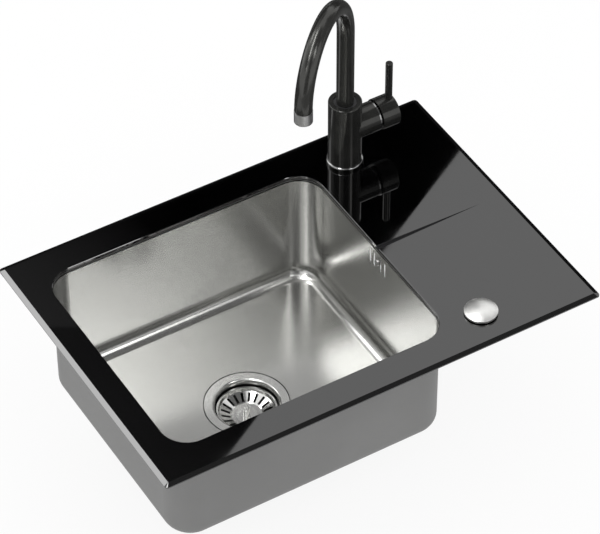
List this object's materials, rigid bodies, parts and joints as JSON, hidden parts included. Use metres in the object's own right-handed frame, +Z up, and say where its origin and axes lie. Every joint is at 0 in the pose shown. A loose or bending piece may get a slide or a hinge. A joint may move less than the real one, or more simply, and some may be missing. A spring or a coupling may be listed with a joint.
{
  "type": "kitchen sink with tap",
  "caption": "Inset kitchen sink with a bevelled black glass top, a steel bowl on the left, a drainer, a basket waste, a push button and a swivel mixer tap.",
  "frame": {"origin": "plan centre of the glass top, on the worktop plane that the rim seal lies on", "axes": "+X to the right along the glass, from bowl to drainer; +Y to the back, where the tap stands; +Z up"},
  "size_m": [0.65, 0.45, 0.5878],
  "materials": {
    "black_glass": "polished",
    "foam": "matt foam",
    "bond": "matt",
    "bowl_steel": "fine brushed",
    "drain_steel": "bright brushed",
    "basket_steel": "satin",
    "plain_steel": "plain",
    "seal_rubber": "matt",
    "waste_plastic": "matt",
    "overflow_plastic": "matt",
    "dark_plastic": "matt",
    "pale_plastic": "matt",
    "button_chrome": "polished",
    "tap_metal": "dark brushed",
    "spout_metal": "dark brushed",
    "tap_bright": "polished",
    "aerator_silver": "satin",
    "brass": "plain"
  },
  "bodies": {
    "sink": {"glass_top": "black_glass", "rim_seal": "foam", "bond_seal": "bond", "bowl": "bowl_steel", "strainer_cup": "drain_steel", "flange_seal": "seal_rubber", "waste_gasket": "seal_rubber", "waste_body": "waste_plastic", "waste_bolt": "plain_steel", "overflow_gasket": "seal_rubber", "overflow_housing": "overflow_plastic", "overflow_screw": "plain_steel", "button_housing": "dark_plastic", "button_seal": "seal_rubber", "button_nut": "dark_plastic", "button_spring": "plain_steel", "tap_base_ring": "tap_bright", "tap_base_gasket": "seal_rubber", "tap_body": "tap_metal", "tap_shank": "brass", "tap_clamp_gasket": "seal_rubber", "tap_clamp_washer": "plain_steel", "tap_clamp_nut": "brass", "spout_bush": "dark_plastic", "spout_lock_screw": "plain_steel", "cartridge_body": "pale_plastic", "cartridge_nut": "brass", "trim_ring": "tap_bright"},
    "spout_assembly": {"spout": "spout_metal", "spout_insert": "brass", "spout_o_rings": "seal_rubber", "aerator_housing": "aerator_silver", "aerator_insert": "pale_plastic", "aerator_seal": "seal_rubber"},
    "mixer_rotor": {"cartridge_rotor": "pale_plastic", "stem_pivot_pin": "plain_steel"},
    "lever": {"cartridge_stem": "plain_steel", "handle_cap": "tap_metal", "lever_pin": "tap_metal", "handle_grub_screw": "plain_steel"},
    "button": {"button_cap": "button_chrome", "button_stem": "dark_plastic"},
    "lifter": {"lifter_pin": "plain_steel"},
    "basket": {"basket_dish": "basket_steel", "basket_post": "basket_steel", "basket_plug": "plain_steel", "basket_seal": "seal_rubber"}
  },
  "joints": [
    {"name": "spout_swivel", "type": "hinge", "parent": "sink", "child": "spout_assembly", "pos_m": [0.174, 0.167, 0.112], "axis": [0, 0, 1], "continuous": true},
    {"name": "lever_turn", "type": "hinge", "parent": "sink", "child": "mixer_rotor", "pos_m": [0.174, 0.167, 0.0676], "axis": [1, 0, 0], "range_deg": [-50, 50]},
    {"name": "lever_tilt", "type": "hinge", "parent": "mixer_rotor", "child": "lever", "pos_m": [0.2075, 0.167, 0.0676], "axis": [0, 1, 0], "range_deg": [0, 15]},
    {"name": "button_press", "type": "slide", "parent": "sink", "child": "button", "axis": [0, 0, -1], "range_m": [0, 0.0016], "stiffness_N_per_m": 600, "springref_m": -0.004, "deforming": ["button_spring"]},
    {"name": "lifter_rise", "type": "slide", "parent": "sink", "child": "lifter", "axis": [0, 0, 1], "range_m": [0, 0.0058]},
    {"name": "basket_lift", "type": "slide", "parent": "lifter", "child": "basket", "axis": [0, 0, 1], "range_m": [0, 0.21]}
  ],
  "couplings": [
    {"joint": "lifter_rise", "follows": "button_press", "ratio": 3.4}
  ]
}
